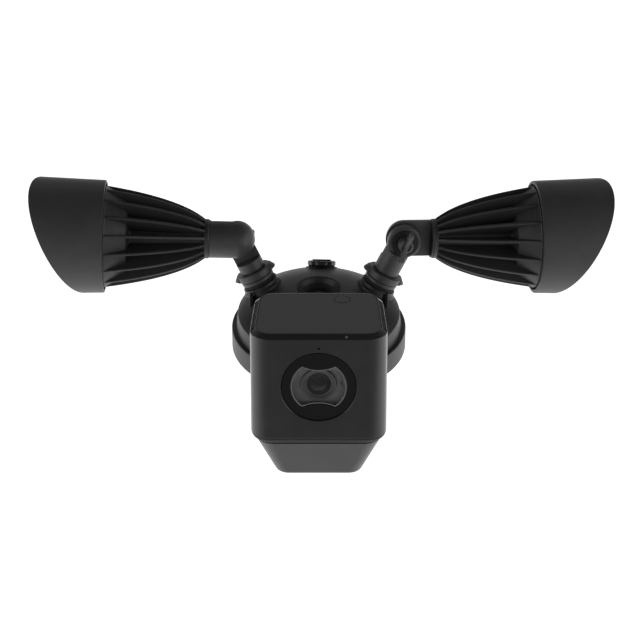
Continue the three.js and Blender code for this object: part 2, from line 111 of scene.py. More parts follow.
LIGHT_BASE = HOOD_START + 3.8
BOARD_R = 31

CAMERA_POLAR = 30
CAMERA_STEM = 32
CAMERA_TILT = 7.5
PLUG_POLAR = 30
PLUG_AZIMUTH = 87.5

BOX_HALF = 44.9
BOX_REAR_HALF = 41.4
BOX_DEPTH = 65.5
BOX_TOP = 37
BOX_BOTTOM = -43
BOX_WALL = 2.8
CORNER_R = 13
TOP_CHAMFER = 3
BOTTOM_ROUND = 6.4
LID_INSET = 3.7
LID_DEPTH = 2.8
LEDGE_INSET = 5.6
REAR_HALF = 27
REAR_LOW = -39
REAR_HIGH = 30
COVER_HALF = 41.4
COVER_FRONT = 4.5
COVER_REAR = 60
COVER_CORNER_R = 12
COVER_DROP = 28.8
COVER_SCALE = 0.667
COVER_CENTRE = 33.9
LENS_RING_R = 24.6
WINDOW_R = 17.9
WINDOW_BITE_R = 24.1
WINDOW_BITE_AT = 36
BUTTON_R = 5.2
BUTTON_X = 15.3
BUTTON_Y = 53
MIC_ABOVE = 27.9
MIC_BORE_R = 0.8
STATUS_X = 17.8
PIVOT_BEHIND = 81.1
PIVOT_ABOVE = 10.4
FLANGE_R = 12.5

X, Y, Z = Vector((1, 0, 0)), Vector((0, 1, 0)), Vector((0, 0, 1))
TURN = 2 * math.pi


# ---------- outlines ----------
def rounded(path, closed=False, steps=5):
    """A path of (x, y) points from (x, y) or (x, y, radius) corners."""
    points = []
    for i, corner in enumerate(path):
        at = Vector(corner[:2])
        radius = corner[2] if len(corner) > 2 else 0
        if not radius or (not closed and i in (0, len(path) - 1)):
            points.append(tuple(at))
            continue
        back = (Vector(path[i - 1][:2]) - at).normalized()
        ahead = (Vector(path[(i + 1) % len(path)][:2]) - at).normalized()
        half = math.acos(max(-1, min(1, back.dot(ahead)))) / 2
        centre = at + (back + ahead).normalized() * (radius / math.sin(half))
        start = at + back * (radius / math.tan(half)) - centre
        end = at + ahead * (radius / math.tan(half)) - centre
        first = math.atan2(start.y, start.x)
        sweep = math.remainder(math.atan2(end.y, end.x) - first, TURN)
        for k in range(steps + 1):
            angle = first + sweep * k / steps
            points.append((centre.x + radius * math.cos(angle), centre.y + radius * math.sin(angle)))
    return points


def rectangle(x0, x1, y0, y1, radius, steps=8):
    corners = [(x0, y0, radius), (x1, y0, radius), (x1, y1, radius), (x0, y1, radius)]
    return rounded(corners, True, steps)


def arc(radius, centre_y, start, end, steps):
    """Points on a circle about (0, centre_y), from one distance off the axis to another."""
    first, last = math.asin(start / radius), math.asin(end / radius)
    angles = [first + (last - first) * i / steps for i in range(steps + 1)]
    return [(radius * math.sin(a), centre_y + radius * math.cos(a)) for a in angles]


# ---------- shells: each is (points, faces) ----------
def loft(sections, closed=False):
    """Joins loops of the same number of points, with the first and last capped or joined to each other."""
    count, rows = len(sections[0]), len(sections)
    points = [Vector(p) for section in sections for p in section]
    faces = []
    for row in range(rows if closed else rows - 1):
        low, high = row * count, (row + 1) % rows * count
        for i in range(count):
            j = (i + 1) % count
            faces.append((low + i, low + j, high + j, high + i))
    if not closed:
        faces.append(tuple(reversed(range(count))))
        faces.append(tuple(range((rows - 1) * count, rows * count)))
    return points, faces


def lathe(profile, segments=96, closed=False):
    """A solid of revolution about +Z from (radius, z) pairs."""
    points, faces, rings = [], [], []
    for radius, z in profile:
        first = len(points)
        if radius < 1e-6:
            points.append(Vector((0, 0, z)))
            rings.append([first] * segments)
        else:
            angles = [TURN * i / segments for i in range(segments)]
            points += [Vector((radius * math.cos(a), radius * math.sin(a), z)) for a in angles]
            rings.append(list(range(first, first + segments)))
    if closed:
        rings.append(rings[0])
    for low, high in zip(rings, rings[1:]):
        for i in range(segments):
            j = (i + 1) % segments
            face = list(dict.fromkeys([low[i], low[j], high[j], high[i]]))
            if len(face) > 2:
                faces.append(tuple(face))
    return points, faces


def drum(radius, low, high, edge=0.0, segments=72, steps=3):
    corners = [(0, low), (radius, low, edge), (radius, high, edge), (0, high)]
    return lathe(rounded(corners, steps=steps), segments)


def tube(inner, outer, low, high, edge=0.3, segments=96):
    corners = [(inner, low, edge), (outer, low, edge), (outer, high, edge), (inner, high, edge)]
    return lathe(rounded(corners, True, 3), segments, closed=True)


def prism(outline, low, high):
    return loft([[(x, y, z) for x, y in outline] for z in (low, high)])


def block(x0, x1, y0, y1, z0, z1):
    return prism([(x0, y0), (x1, y0), (x1, y1), (x0, y1)], z0, z1)


def moved(shell, matrix):
    return [matrix @ p for p in shell[0]], shell[1]


def about(degrees, axis):
    return Matrix.Rotation(math.radians(degrees), 4, axis)


def along_y(shell):
    return moved(shell, about(-90, "X"))


def along_x(shell):
    return moved(shell, about(90, "Y"))


def shift(shell, x=0.0, y=0.0, z=0.0):
    return moved(shell, Matrix.Translation((x, y, z)))


# ---------- places ----------
def direction(polar, azimuth):
    flat = math.sin(math.radians(polar))
    turn = math.radians(azimuth)
    return Vector((flat * math.cos(turn), flat * math.sin(turn), math.cos(math.radians(polar))))


def on_dome(axis, height=0):
    """The point that lies this high above the dome along an axis from the dome's centre."""
    return axis * (DOME_R + height) + Vector((0, 0, DOME_TOP - DOME_R))


def basis(x, y, z, at):
    """The placement that has these axes and this origin."""
    matrix = Matrix((x, y, z)).transposed().to_4x4()
    matrix.translation = at
    return matrix


def about_axis(axis):
    """A placement on the dome whose Z is the axis and whose Y is as near +Y as it can be."""
    x = Y.cross(axis).normalized()
    return basis(x, axis.cross(x), axis, on_dome(axis))


lamp_axis = {side: direction(LAMP_POLAR[side], LAMP_AZIMUTH[side]) for side in OUTWARD}
camera_axis = direction(CAMERA_POLAR, -90)
plug_axis = direction(PLUG_POLAR, PLUG_AZIMUTH)


# ---------- materials ----------
ROUGH_SPREAD = 0.04


def node(tree, kind, **inputs):
    """A new shader node with these values on its inputs."""
    made = tree.nodes.new(kind)
    for name, value in inputs.items():
        made.inputs[name.replace("_", " ")].default_value = value
    return made


def mottled(name, shade, spread, ends, rough, scale, detail):
    """A material whose colour and gloss vary over soft patches; ends and rough are (low, high) pairs."""
    material = bpy.data.materials.new(name)
    material.use_nodes = True
    tree = material.node_tree
    shader = tree.nodes["Principled BSDF"]
    place = node(tree, "ShaderNodeTexCoord")
    broad = node(tree, "ShaderNodeTexNoise", Scale=scale, Detail=detail, Roughness=0.6)
    ramp = node(tree, "ShaderNodeValToRGB")
    low, high = ramp.color_ramp.elements
    low.position, high.position = ends
    low.color = (*[c * (1 - spread) for c in shade], 1)
    high.color = (*[min(1, c * (1 + spread)) for c in shade], 1)
    gloss = node(tree, "ShaderNodeMapRange")
    gloss.inputs["To Min"].default_value, gloss.inputs["To Max"].default_value = rough
    link = tree.links.new
    link(place.outputs["Object"], broad.inputs["Vector"])
    link(broad.outputs["Fac"], ramp.inputs["Fac"])
    link(ramp.outputs["Color"], shader.inputs["Base Color"])
    link(broad.outputs["Fac"], gloss.inputs["Value"])
    link(gloss.outputs["Result"], shader.inputs["Roughness"])
    return material, shader, place


def surface(name, shade, rough, grain=900, depth=0.00004, strength=0.25, spread=0.18,
            metallic=0.0, specular=0.5, coat=0.0, scale=35):
    """A slightly uneven finish: broad mottling in colour and gloss, and a fine grain in the surface."""
    rough_range = (max(0.02, rough - ROUGH_SPREAD), min(1, rough + ROUGH_SPREAD))
    material, shader, place = mottled(name, shade, spread, (0.25, 0.75), rough_range, scale, 5.0)
    shader.inputs["Metallic"].default_value = metallic
    shader.inputs["Specular IOR Level"].default_value = specular
    shader.inputs["Coat Weight"].default_value = coat
    shader.inputs["Coat Roughness"].default_value = 0.06
    tree = material.node_tree
    fine = node(tree, "ShaderNodeTexNoise", Scale=grain, Detail=3.0, Roughness=0.65)
    bump = node(tree, "ShaderNodeBump", Strength=strength, Distance=depth)
    tree.links.new(place.outputs["Object"], fine.inputs["Vector"])
    tree.links.new(fine.outputs["Fac"], bump.inputs["Height"])
    tree.links.new(bump.outputs["Normal"], shader.inputs["Normal"])
    return material


def clear(name, tint, rough, weight):
    """Thin glass: mostly see-through, with a polished face and faint smears."""
    material, shader, _ = mottled(name, tint, 0.15, (0, 1), (rough * 0.5, rough * 1.5), 60.0, 4.0)
    shader.inputs["Alpha"].default_value = weight
    return material


def grey(value):
    return (value, value, value * 1.02)


COAT_GRAIN = {"grain": 1500, "depth": 0.00006}
CASE_GRAIN = {"grain": 2600, "depth": 0.00002, "strength": 0.15}
POLISH = {"grain": 3000, "depth": 0.000005, "strength": 0.1, "spread": 0.1}

PAINT = surface("satin_black_coat", grey(0.031), 0.46, strength=0.35, **COAT_GRAIN)
# A lighter copy of the same black coat for the nuts, stems, wing screws and lamp necks: painted light,
# standing in for light from the front and above that the scene lacks.
ARM_COAT_PAINTED_LIGHT = surface("arm_black_coat_painted_light", grey(0.07), 0.44, strength=0.35, **COAT_GRAIN)
# A lighter copy of the same black coat for the hoods: the lighter colour is painted light; the finish is
# also rougher and less glossy.
HOOD_COAT_PAINTED_LIGHT = surface("hood_black_coat_painted_light", grey(0.066), 0.52, grain=1500, depth=0.00007, strength=0.45,
                     specular=0.4)
# A lighter copy of the same black coat for the finned bodies: painted light, brightening the shaded
# valleys between the fins.
FIN_COAT_PAINTED_LIGHT = surface("fin_black_coat_painted_light", grey(0.042), 0.5, strength=0.3, **COAT_GRAIN)
CASE = surface("satin_black_case", grey(0.029), 0.17, **CASE_GRAIN)
# A much darker copy of the case finish for the case's rounded lower edge: painted shade.
CASE_EDGE_PAINTED_SHADE = surface("case_lower_edge_painted_shade", grey(0.006), 0.5, specular=0.25, **CASE_GRAIN)
COVER = surface("lower_case", grey(0.056), 0.34, grain=2600, depth=0.00003, strength=0.2)
PANEL = surface("top_case", grey(0.028), 0.42, grain=2200, depth=0.00003, strength=0.25)
GLOSS = surface("gloss_black", grey(0.005), 0.16, specular=0.35, **POLISH)
BARREL = surface("lens_tube_plastic", grey(0.18), 0.35, **POLISH)
# A light grey for the window's lip and the lens tube's rim: painted highlights on edges of black plastic.
PAINTED_EDGE_HIGHLIGHT = surface("painted_edge_highlight", grey(0.28), 0.25, **POLISH)
RUBBER = surface("black_rubber", grey(0.012), 0.75, grain=1200, depth=0.00005, strength=0.4)
ZINC = surface("zinc_plate", (0.55, 0.55, 0.57), 0.38, metallic=1.0, spread=0.12, grain=700, scale=140)
OXIDE = surface("black_oxide", grey(0.02), 0.4, metallic=0.6, spread=0.2, grain=1500)
WHITE = surface("white_plastic", (0.74, 0.74, 0.72), 0.45, spread=0.04)
MASK = surface("white_board", (0.72, 0.72, 0.7), 0.4, spread=0.05, grain=2500)
GREEN = surface("green_board", (0.03, 0.16, 0.06), 0.35, spread=0.15, grain=2500)
PHOSPHOR = surface("led_phosphor", (0.85, 0.62, 0.12), 0.5, spread=0.06, grain=4000)
MIRROR = surface("bright_reflector", (0.8, 0.8, 0.8), 0.2, spread=0.03, metallic=0.6, grain=2500)
FROST = surface("frosted_lens", (0.62, 0.62, 0.6), 0.4, spread=0.05, grain=2500)
PLATE = surface("sensor_plate", grey(0.42), 0.4, spread=0.2, grain=2500)
OPTIC = surface("dark_optic", (0.012, 0.012, 0.015), 0.07, grain=2500, depth=0.000002, strength=0.05,
                coat=1.0)
CLEAR = clear("clear_glass", (0.5, 0.53, 0.55), 0.04, 0.16)
SMOKED = clear("smoked_glass", (0.02, 0.02, 0.022), 0.06, 0.22)


# ---------- pieces ----------
# Edges that turn by more than this many radians are bevelled.
BEVEL_FROM = 0.6


def mesh_of(name, shells, bevel=0.0, bevel_steps=2):
    """One mesh, in metres, from closed shells in millimetres."""
    made = bmesh.new()
    for points, faces in shells:
        corners = [made.verts.new(p * MM) for p in points]
        for face in faces:
            made.faces.new([corners[i] for i in face])
    bmesh.ops.recalc_face_normals(made, faces=made.faces)
    if bevel:
        edges = [e for e in made.edges if e.is_manifold and e.calc_face_angle(0) > BEVEL_FROM]
        bmesh.ops.bevel(made, geom=edges, offset=bevel * MM, segments=bevel_steps, profile=0.5,
                        affect="EDGES", clamp_overlap=True)
    mesh = bpy.data.meshes.new(name)
    made.to_mesh(mesh)
    made.free()
    return mesh


def less(mesh, shells):
    """The mesh with these shells taken away from it."""
    whole = bpy.data.objects.new("whole", mesh)
    bpy.context.scene.collection.objects.link(whole)
    tools = []
    for shell in shells:
        tool = bpy.data.objects.new("tool", mesh_of("tool", [shell]))
        bpy.context.scene.collection.objects.link(tool)
        step = whole.modifiers.new("cut", "BOOLEAN")
        step.operation = "DIFFERENCE"
        step.solver = "EXACT"
        step.object = tool
        tools.append(tool)
    bpy.context.view_layer.update()
    seen = whole.evaluated_get(bpy.context.evaluated_depsgraph_get())
    rest = bpy.data.meshes.new_from_object(seen)
    for used in [whole, *tools]:
        bpy.data.objects.remove(used)
    return rest


def joined(name, meshes):
    """One mesh that holds several closed ones."""
    made = bmesh.new()
    for mesh in meshes:
        made.from_mesh(mesh)
    whole = bpy.data.meshes.new(name)
    made.to_mesh(whole)
    made.free()
    return whole


def piece(name, mesh, matrix, body, material, *nodes, slot, sharp=32):
    """Puts a mesh in its place, smooths it, and lets it stand for CAD nodes."""
    mesh = mesh if isinstance(mesh, bpy.types.Mesh) else mesh_of(name, mesh)
    shown = mesh.copy()
    shown.name = name
    place = matrix.copy()
    place.translation = place.translation * MM
    shown.transform(place)
    shown.materials.clear()
    shown.materials.append(material)
    shown.polygons.foreach_set("material_index", [0] * len(shown.polygons))
    shown.polygons.foreach_set("use_smooth", [True] * len(shown.polygons))
    shown.set_sharp_from_angle(angle=math.radians(sharp))
    made = bpy.data.objects.new(name, shown)
    bpy.context.scene.collection.objects.link(made)
    level = made.modifiers.new("flat_faces", "WEIGHTED_NORMAL")
    level.keep_sharp = True
    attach(made, body)
    if nodes:
        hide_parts(*nodes)
    return made


HERE = Matrix.Identity(4)


# ---------- canopy ----------
def canopy():
    """The domed shell with its hubs and ribs, the screw in its dish and the spare port's plug."""
    centre = DOME_TOP - DOME_R
    profile = rounded([
        (RIM_R, 0, 0.4), (RIM_R, RIM_TOP, 1.1), (STEP_R + 0.2, RIM_TOP, 0.5),
        (STEP_R - 0.8, STEP_TOP + 0.2, 1.6), *arc(DOME_R, centre, STEP_R - 3, DISH_R + 2.4, 20),
        (DISH_R + 0.6, 45.0, 1.2), (DISH_R - 1.6, 41.2, 3.2), (DISH_R - 5, DISH_FLOOR, 5),
        (SCREW_BORE_R, DISH_FLOOR), (SCREW_BORE_R, DISH_FLOOR - CANOPY_WALL),
        (11.5, DISH_FLOOR - CANOPY_WALL, 2), (15.8, 40.2),
        *arc(DOME_R - CANOPY_WALL, centre, DISH_R + 3.2, STEP_R - 7, 12),
        (STEP_R - 3.4, STEP_TOP - 1, 2), (STEP_R - 2.6, RIM_TOP - CANOPY_WALL, 0.6),
        (RIM_R - CANOPY_WALL, RIM_TOP - CANOPY_WALL, 0.6), (RIM_R - CANOPY_WALL, 0, 0.4),
    ], True, 6)
    shell = mesh_of("dome", [lathe(profile, 192, closed=True)])
    arm_axes = [*lamp_axis.values(), camera_axis]
    bores = [moved(drum(THREAD_R + 1, -FAR, FAR), about_axis(axis)) for axis in arm_axes]
    bores.append(moved(drum(PORT_R, -FAR, FAR), about_axis(plug_axis)))
    hub = lathe(rounded([
        (THREAD_R + GAP, -4), (HUB_R + 1.6, -4), (HUB_R + 1.2, 0.4, 0.6), (HUB_R, 1.8, 0.8),
        (HUB_R, HUB_RISE, 0.5), (THREAD_R + GAP, HUB_RISE),
    ], True, 4), 96, closed=True)
    port = lathe(rounded([
        (PORT_R, -4), (12.2, -4), (11.4, -0.6, 0.8), (10.4, 0.1, 0.4), (PORT_R, 0.1),
    ], True, 3), 96, closed=True)
    rims = [moved(hub, about_axis(axis)) for axis in arm_axes]
    rims.append(moved(port, about_axis(plug_axis)))
    side = [(-4.4, 30), (5.4, 30), (5.4, 38.5), (3.4, 38.5), (-4.4, 33.4)]
    ribs = [loft([[(x + middle, y, z) for y, z in side] for x in (-RIB_HALF, RIB_HALF)])
            for middle in (-RIB_X, RIB_X)]
    parts = [less(shell, bores), mesh_of("hubs", rims), mesh_of("ribs", ribs, 0.6)]
    whole = joined("base_canopy", parts)
    piece("canopy", whole, HERE, "base", PAINT, "base_canopy", slot="coated_aluminium")

    head_top = DISH_FLOOR + 2.2
    head = lathe(rounded([
        (0, DISH_FLOOR + 1), (1.6, DISH_FLOOR + 1), (1.6, head_top), (4.6, head_top, 0.7),
        (4.6, DISH_FLOOR + GAP), (0, DISH_FLOOR + GAP),
    ], steps=4), 64)
    shank = drum(2, 6, DISH_FLOOR + 1, segments=24)
    piece("cap_screw", [head, shank], HERE, "base", OXIDE, "centre_screw", slot="dark_steel")

    at = about_axis(plug_axis)
    piece("port_seal", [tube(PORT_R - 0.1, 9.2, 0.2, 1)], at, "base", RUBBER, "plug_seal", slot="rubber")
    plug = [
        lathe(rounded([
            (0, 1.2), (PLUG_R, 1.2, 0.4), (PLUG_R, PLUG_TOP, 0.8), (PLUG_R - 2, PLUG_TOP, 0.3),
            (PLUG_R - 2.4, PLUG_TOP - 0.6, 0.3), (0, PLUG_TOP - 0.6),
        ], steps=4), 96),
        drum(PORT_R - GAP, -6, 2),
        prism(rectangle(-6.4, 6.4, -1, 1, 0.6), 3.5, 5.2),
    ]
    piece("spare_port_plug", plug, at, "plug", CASE, "port_plug", slot="black_plastic")


# ---------- threaded stems ----------
def lock_nut():
    """A stepped ring with two triangular ears."""
    ring = lathe(rounded([
        (THREAD_R + GAP, NUT_BASE), (NUT_R - 0.7, NUT_BASE, 0.5), (NUT_R - 0.7, NUT_BASE + 2.6, 0.4),
        (NUT_R - 1.4, NUT_BASE + 2.9, 0.2), (NUT_R - 1.4, NUT_BASE + 3.2, 0.2),
        (NUT_R, NUT_BASE + 3.5, 0.4), (NUT_R, NUT_TOP, 0.9), (THREAD_R + GAP, NUT_TOP, 0.3),
    ], True, 3), 96, closed=True)
    root, low, high = NUT_R - 2.6, NUT_BASE + 3.6, NUT_TOP - 0.2
    sections = []
    for y, tip, shoulder in ((-4.6, 0.4, -0.23), (-2.6, 2.5, 0.25), (-1.2, 2.9, 0.29),
                             (1.2, 2.9, 0.29), (2.6, 2.5, 0.25), (4.6, 0.4, -0.23)):
        sections.append([(root, y, low), (NUT_R + shoulder, y, low), (NUT_R + tip, y, high - 3.7),
                         (NUT_R + tip, y, high - 2.9), (NUT_R + shoulder, y, high), (root, y, high)])
    ears = [moved(loft(sections), about(turn, "Z")) for turn in (180, 0)]
    return joined("lock_nut", [mesh_of("ring", [ring]), mesh_of("ears", ears, 0.3)])


def stem_mesh(length, eye_r):
    """A hollow threaded post up +Z, trimmed beside an eye whose pin runs along Y."""
    post = lathe(rounded([
        (WIRE_BORE, -8), (THREAD_R, -8, 0.6), (THREAD_R, NUT_TOP + GAP), (SHAFT_R, NUT_TOP + GAP, 0.3),
        (SHAFT_R, length - 1), (0, length - 1), (0, length - eye_r - 5), (WIRE_BORE, length - eye_r - 5),
    ], steps=3), 96)
    shaft = less(mesh_of("shaft", [post]), [
        block(-FAR, FAR, -GAP, FAR, length - SHOULDER, length + FAR),
        block(-FAR, FAR, -FAR, EYE_EDGE - EYE_THICKNESS, length - WASHER_R - 1, length + FAR),
    ])
    eye = moved(along_y(drum(eye_r, GAP, EYE_THICKNESS, EYE_EDGE, 96, 5)), about(180, "Z"))
    return joined("stem", [shaft, mesh_of("eye", [shift(eye, z=length)])])


def wing_screw():
    """Made about the pin, which runs along Y, with the head on the -Y side."""
    seat = -EYE_THICKNESS - 1.8
    end = seat - 5.2
    outline = rounded([
        (-3, 0), (-12, -4.9, 1.4), (-10.8, -9.4, 2), (0, -5, 3),
        (10.8, -9.4, 2), (12, -4.9, 1.4), (3, 0),
    ], True, 5)
    wings = shift(prism(outline, -1.5, 1.5), y=seat - 0.4)
    hub = along_y(lathe(rounded([
        (0, seat), (5.5, seat, 0.3), (5.0, end, 0.8), (3.4, end, 0.4), (3.0, end + 1, 0.3),
        (2.2, end + 1, 0.2), (2.0, end + 0.3, 0.3), (0, end + 0.3),
    ], steps=3), 72))
    shank = along_y(drum(SHANK_R, seat, 7.4, 0.5, 32))
    return joined("wing_screw", [mesh_of("round", [hub, shank]), mesh_of("wings", [wings], 0.6, 3)])


def washer():
    low, high = -EYE_THICKNESS - 1.5, -EYE_THICKNESS - GAP
    return mesh_of("washer", [along_y(tube(SHANK_R + GAP, WASHER_R, low, high, 0.25))])


def arm(axis, out, ear, length, eye_r, turn, seal_node, nut, stem, washer_node, screw):
    """One arm along axis, its knuckle facing out; nut, stem and screw are each a node and its body."""
    pin = axis.cross(out)
    foot = on_dome(axis)
    at_foot = basis(ear, axis.cross(ear), axis, foot)
    at_stem = basis(out, pin, axis, foot)
    at_pin = basis(out, pin, axis, foot + axis * length)
    seal = [tube(THREAD_R + GAP, HUB_R - 1, HUB_RISE + 0.2, NUT_BASE - 0.2)]
    piece(seal_node + "_ring", seal, at_foot, "base", RUBBER, seal_node, slot="rubber")
    piece(nut + "_shaped", lock_nut(), at_foot, nut, ARM_COAT_PAINTED_LIGHT, nut, slot="coated_aluminium")
    piece(stem + "_shaped", stem_mesh(length, eye_r), at_stem, stem, ARM_COAT_PAINTED_LIGHT, stem,
          slot="coated_aluminium")
    piece(washer_node + "_ring", washer(), at_pin, stem, RUBBER, washer_node, slot="rubber")
    piece(screw + "_shaped", wing_screw(), at_pin @ about(turn, "Y"), screw, ARM_COAT_PAINTED_LIGHT, screw,
          slot="coated_aluminium")


# ---------- lamps, made along +X from the knuckle's pin, top +Z ----------
def fin_crest(steps=24):
    """The outer edge of a fin, as (x, radius) pairs along one quadratic curve."""
    points = []
    for i in range(steps + 1):
        t = i / steps
        start, bend, end = (1 - t) ** 2, 2 * t * (1 - t), t * t
        x = start * FIN_START + bend * FIN_BEND + end * (HOOD_START - 1)
        points.append((x, start * FIN_START_R + bend * FIN_BEND_R + end * FIN_END_R))
    return points


def fin():
    """A fin in the XZ plane with a rounded crest, whose foot is buried in the core."""
    foot_r, deep = 8.0, 40
    across = [(-1.5, deep), (-1.0, 0.6), (-0.6, 0.12), (0, 0), (0.6, 0.12), (1.0, 0.6), (1.5, deep)]
    sections = [[(x, y, max(foot_r, r - drop)) for y, drop in across] for x, r in fin_crest()]
    return loft(sections)


def heat_sink(turn):
    start, face_r = HOOD_START, 34.9
    core = along_x(lathe(rounded([
        (0, LAP_END), (NECK_R, LAP_END), (NECK_R, NECK_LENGTH), (NECK_R + 0.5, NECK_LENGTH + 0.5, 0.3),
        (NECK_R + 0.5, 22, 0.5), (11.2, 23.6), (14.0, start - 17, 1.5), (26, start - 15, 0.6),
        (30.8, start - 7.5, 8), (34.3, start - 1, 0.6), (face_r, start - 0.4), (face_r, start + 1.8),
        (0, start + 1.8),
    ], steps=4), 160))
    fins = [moved(fin(), about(90 + turn + i * 360 / FINS, "X")) for i in range(FINS)]
    return joined("heat_sink", [mesh_of("core", [core]), mesh_of("fins", fins)])


def neck_mesh(steps=24):
    """The ball-ended neck, lapped down to half its width beside the stem's eye."""
    angles = [math.pi / 2 * i / steps for i in range(steps + 1)]
    ball = [(NECK_R * math.sin(a), -NECK_END * math.cos(a)) for a in angles]
    neck = along_x(lathe([*ball, (NECK_R, NECK_LENGTH), (0, NECK_LENGTH)], 96))
    return less(mesh_of("neck", [neck]), [block(-FAR, LAP_END, -FAR, 0, -FAR, FAR)])


def hood_mesh(turn, count=144):
    """A slightly flared tube whose mouth is cut on a slant, longest at the top."""
    start = HOOD_START
    middle = start + HOOD_MEAN
    sections = []
    for angle in [TURN * i / count for i in range(count)]:
        high = math.sin(angle)
        front = middle + HOOD_SLOPE * HOOD_R * high
        outer = HOOD_R
        # The radius at the mouth and the place of the mouth depend on each other.
        for _ in range(4):
            outer = HOOD_R + HOOD_FLARE * (front - start) / HOOD_LENGTH
            front = middle + HOOD_SLOPE * outer * high
        bore = outer - HOOD_WALL
        inner_front = front - HOOD_SLOPE * HOOD_WALL * high
        path = [(HOOD_R - HOOD_WALL, start), (HOOD_R - 0.9, start), (HOOD_R - 0.25, start + 0.25),
                (HOOD_R, start + 0.9), (outer, front - 0.7), (outer - 0.2, front - 0.2),
                (outer - 0.7, front), (bore + 0.5, inner_front), (bore, inner_front - 0.6)]
        sections.append([(x, r * math.cos(angle), r * high) for r, x in path])
    shell = loft(sections, closed=True)
    return mesh_of("hood", [moved(shell, Matrix.Rotation(turn, 4, "X"))])


def lamp(side):
    """One arm, the finned body on its pin, the hood and the light engine in the hood's mouth."""
    axis, sign = lamp_axis[side], OUTWARD[side]
    outward = about(LAMP_TURN[side], axis) @ Vector((sign, 0, 0))
    pin = axis.cross(outward).normalized()
    out = pin.cross(axis)
    aim = about(-LAMP_TILT[side], pin) @ outward
    top = aim.cross(pin)
    ear = Vector((sign * axis.z, 0, -sign * axis.x)).normalized()
    length = LAMP_STEM[side]
    arm(axis, out, ear, length, EYE_R, WING_TURN[side], f"stem_seal_{side}", f"lock_nut_{side}",
        f"stem_{side}", f"knuckle_washer_{side}", f"wing_screw_{side}")

    at = basis(aim, pin, top, on_dome(axis) + axis * length)
    body = f"lamp_{side}"
    piece(f"finned_body_{side}", heat_sink(FIN_TURN[side]), at, body, FIN_COAT_PAINTED_LIGHT, f"heat_sink_{side}",
          slot="coated_aluminium")
    piece(f"lamp_neck_{side}", neck_mesh(), at, body, ARM_COAT_PAINTED_LIGHT, slot="coated_aluminium")
    turn = math.atan2(-Z.dot(pin), Z.dot(top)) + math.radians(HOOD_ROLL[side])
    piece(f"lamp_hood_{side}", hood_mesh(turn), at, body, HOOD_COAT_PAINTED_LIGHT, f"hood_{side}",
          slot="coated_aluminium")
    base, inner = LIGHT_BASE, HOOD_R - HOOD_WALL - 0.6
    bowl = lathe(rounded([
        (8, base), (10, base, 2), (BOARD_R, base + 3.4, 2), (inner, base + 3.4), (inner, base + 4),
        (BOARD_R - 0.4, base + 4, 2), (8, base + 0.8, 0.3),
    ], True, 5), 96, closed=True)
    piece(f"bowl_{side}", [along_x(bowl)], at, body, MIRROR, f"reflector_{side}", slot="reflector")
    board = along_x(drum(BOARD_R, base - 1.7, base - GAP))
    piece(f"board_{side}", [board], at, body, MASK, f"led_board_{side}", slot="white_board")
    chip = along_x(drum(6.4, base - GAP, base + 0.4, 0.3))
    piece(f"led_chip_{side}", [chip], at, body, PHOSPHOR, slot="diffuser")
    pane = along_x(drum(inner, base + 4.3, base + 6, 0.4, 96))
    piece(f"lamp_glass_{side}", [pane], at, body, CLEAR, f"front_glass_{side}", slot="diffuser")


# ---------- camera, about the lens axis at the front face: +X right, +Y back, +Z up ----------
def box_outline(inset, z, steps=12):
    """The case's outline at one height, this far inside its outer wall."""
    front, rear = BOX_HALF - inset, BOX_REAR_HALF - inset
    radius = CORNER_R - inset * 0.8
    path = [(-front, inset, radius), (front, inset, radius), (rear, BOX_DEPTH - inset, radius),
            (-rear, BOX_DEPTH - inset, radius)]
    return [(x, y, z) for x, y in rounded(path, True, steps)]


def rear_outline(grow=0.0):
    """The rear cover's outline, in x and z."""
    return rectangle(-REAR_HALF - grow, REAR_HALF + grow, REAR_LOW - grow, REAR_HIGH + grow, 3 + grow)


def housing():
    """A hollow shell, drawn from its rounded bottom up over the chamfer and down the inside."""
    levels = []
    for angle in [math.pi / 2 * i / 10 for i in range(11)]:
        rise = BOTTOM_ROUND * (1 - math.cos(angle))
        levels.append((BOTTOM_ROUND * (1 - math.sin(angle)), BOX_BOTTOM + rise))
    soft = 0.35
    chamfer_z = BOX_TOP - TOP_CHAMFER
    levels += [(0, chamfer_z - soft), (soft * 0.25, chamfer_z + soft * 0.1),
               (soft * 0.9, chamfer_z + soft * 0.8), (TOP_CHAMFER - soft * 0.8, BOX_TOP - soft * 0.9),
               (TOP_CHAMFER - soft * 0.1, BOX_TOP - soft * 0.25), (TOP_CHAMFER + soft, BOX_TOP),
               (LID_INSET, BOX_TOP), (LID_INSET + 0.05, BOX_TOP - LID_DEPTH),
               (LEDGE_INSET, BOX_TOP - LID_DEPTH), (LEDGE_INSET, BOX_TOP - 6),
               (BOX_WALL, BOX_TOP - 6), (BOX_WALL, BOX_BOTTOM + BOX_WALL)]
    shell = loft([box_outline(inset, z) for inset, z in levels])
    recess = lathe(rounded([
        (0, -3), (LENS_RING_R + 0.5, -3), (LENS_RING_R + 0.5, -0.2), (LENS_RING_R, 0.4),
        (LENS_RING_R, 5), (0, 5),
    ]), 144)
    return less(mesh_of("housing", [shell]), [
        moved(prism(rear_outline(GAP), -70, -60), about(90, "X")),
        along_y(recess),
        shift(along_y(drum(MIC_BORE_R, -3, 6, segments=24)), z=MIC_ABOVE),
    ])


def batwing(angle, grow=0.0):
    """Distance from the lens axis to the window's edge, a disc with bites out of its top and bottom."""
    radius, bite = WINDOW_R + grow, WINDOW_BITE_R - grow
    rise = abs(math.sin(angle))
    inside = (WINDOW_BITE_AT * rise) ** 2 - WINDOW_BITE_AT ** 2 + bite ** 2
    if inside > 0:
        radius = min(radius, WINDOW_BITE_AT * rise - math.sqrt(inside))
    return radius


